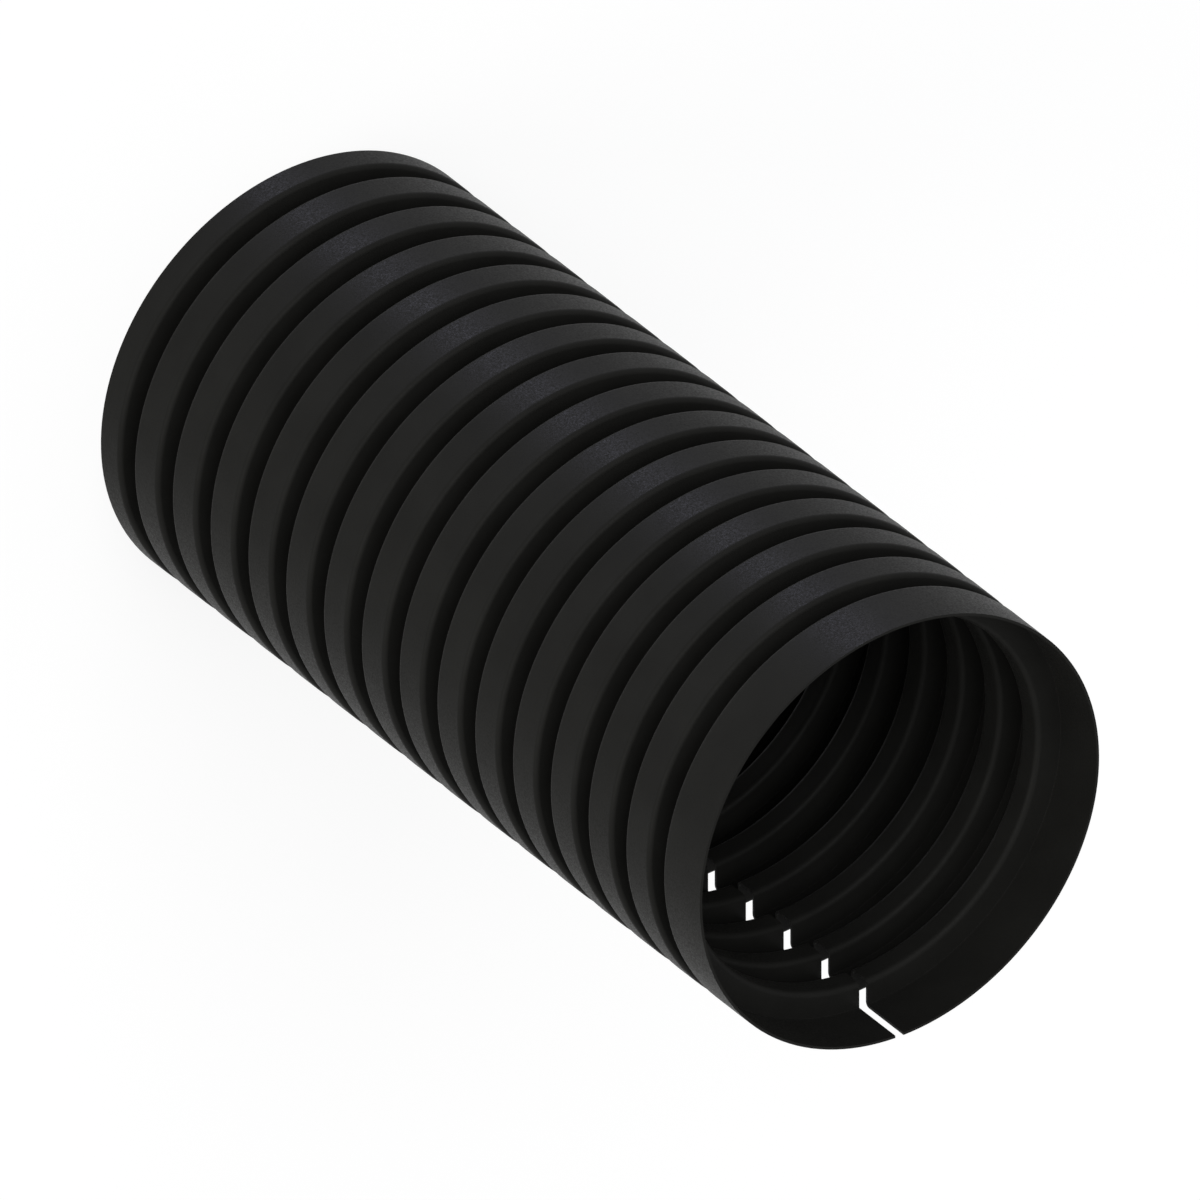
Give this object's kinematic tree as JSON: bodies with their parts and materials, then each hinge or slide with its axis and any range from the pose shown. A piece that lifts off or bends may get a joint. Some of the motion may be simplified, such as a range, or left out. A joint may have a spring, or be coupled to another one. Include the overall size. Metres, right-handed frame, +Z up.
{
  "type": "slit corrugated conduit",
  "caption": "Short corrugated loom tube: a thin black plastic wall, ringed with narrow grooves and slit from end to end, that closes round a bundle of cables laid in from the side.",
  "frame": {"origin": "on the floor, on the tube's axis, at the centre of the cut end that it stands on", "axes": "+Z up the tube towards the end with the long plain cuff; +Y towards the slit; +X completes the right-handed frame"},
  "size_m": [0.0586, 0.0586, 0.1268],
  "materials": {
    "black_plastic": "matte"
  },
  "bodies": {
    "root": {"conduit": "black_plastic"}
  },
  "joints": []
}
